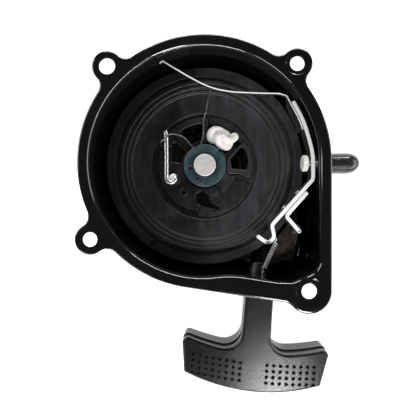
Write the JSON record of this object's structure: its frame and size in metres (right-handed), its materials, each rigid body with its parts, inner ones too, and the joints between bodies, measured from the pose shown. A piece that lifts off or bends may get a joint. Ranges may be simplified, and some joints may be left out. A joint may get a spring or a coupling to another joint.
{
  "type": "recoil starter",
  "caption": "Small-engine recoil starter: black pressed-steel case with bolt ears, rope reel with pawl on a fixed shaft, spring-loaded stop lever, and a T handle on its rope.",
  "frame": {"origin": "on the shaft axis, at the flat outer face of the case that the starter rests on", "axes": "+Z along the shaft, out of the open side and towards the engine; -Y is roughly the way the handle is pulled; +X points to the capped stop rod"},
  "size_m": [0.1465, 0.1881, 0.038],
  "materials": {
    "black_paint": "gloss black baked enamel",
    "turned_steel": "turned bare steel",
    "dark_steel": "phosphated dark spring steel",
    "blue_steel": "heat-blued steel",
    "bright_zinc": "bright zinc plate",
    "black_nylon": "semi-matte moulded nylon",
    "black_pvc": "satin soft PVC",
    "white_rope": "braided nylon rope",
    "white_nylon": "natural nylon"
  },
  "bodies": {
    "housing": {"starter_case": "black_paint", "centre_shaft": "turned_steel", "mainspring_pin": "dark_steel", "mainspring": "dark_steel", "thrust_washer": "blue_steel", "circlip": "dark_steel", "rope_outlet": "black_nylon", "lever_stand": "dark_steel", "lever_pin": "bright_zinc", "lever_spacer": "bright_zinc", "spring_stud": "bright_zinc", "ferrule": "bright_zinc", "ferrule_nut": "bright_zinc", "ferrule_cap": "black_pvc"},
    "reel": {"reel": "black_nylon", "reel_bush": "turned_steel", "rope_coil": "white_rope", "rope_knot": "white_rope"},
    "pawl": {"pawl": "bright_zinc"},
    "friction_spring": {"friction_spring": "bright_zinc"},
    "lever": {"stop_lever": "bright_zinc", "lever_bracket": "bright_zinc", "lever_leaf": "bright_zinc", "tension_spring": "bright_zinc", "lever_rivet_1": "bright_zinc", "lever_rivet_2": "bright_zinc"},
    "stop_rod": {"stop_rod": "bright_zinc", "stop_rod_head": "white_nylon"},
    "handle": {"pull_handle": "black_pvc", "handle_washer": "bright_zinc", "handle_knot": "white_rope", "rope_lead": "white_rope"}
  },
  "joints": [
    {"name": "handle_pull", "type": "slide", "parent": "housing", "child": "handle", "axis": [-0.0741, -0.9973, 0], "range_m": [0, 0.7], "stiffness_N_per_m": 15, "springref_m": -0.6, "deforming": ["rope_lead"]},
    {"name": "reel_spin", "type": "hinge", "parent": "housing", "child": "reel", "pos_m": [0, 0, 0.0115], "axis": [0, 0, 1], "range_deg": [-1205, 0], "deforming": ["mainspring"]},
    {"name": "pawl_swing", "type": "hinge", "parent": "reel", "child": "pawl", "pos_m": [-0.017, -0.0072, 0.0186], "axis": [0, 0, 1], "range_deg": [0, 15]},
    {"name": "friction_spring_turn", "type": "hinge", "parent": "reel", "child": "friction_spring", "pos_m": [0, 0, 0.0185], "axis": [0, 0, 1], "range_deg": [0, 23]},
    {"name": "stop_rod_slide", "type": "slide", "parent": "housing", "child": "stop_rod", "axis": [1, 0, 0], "range_m": [-0.0028, 0]},
    {"name": "lever_swing", "type": "hinge", "parent": "housing", "child": "lever", "pos_m": [0.0487, -0.0353, 0.029], "axis": [0, 0, 1], "range_deg": [0, 4.6], "deforming": ["tension_spring"]}
  ],
  "couplings": [
    {"joint": "reel_spin", "follows": "handle_pull", "rad_per_m": -29.92},
    {"joint": "friction_spring_turn", "follows": "pawl_swing", "ratio": 1.5},
    {"joint": "lever_swing", "follows": "stop_rod_slide", "rad_per_m": -28.33}
  ]
}
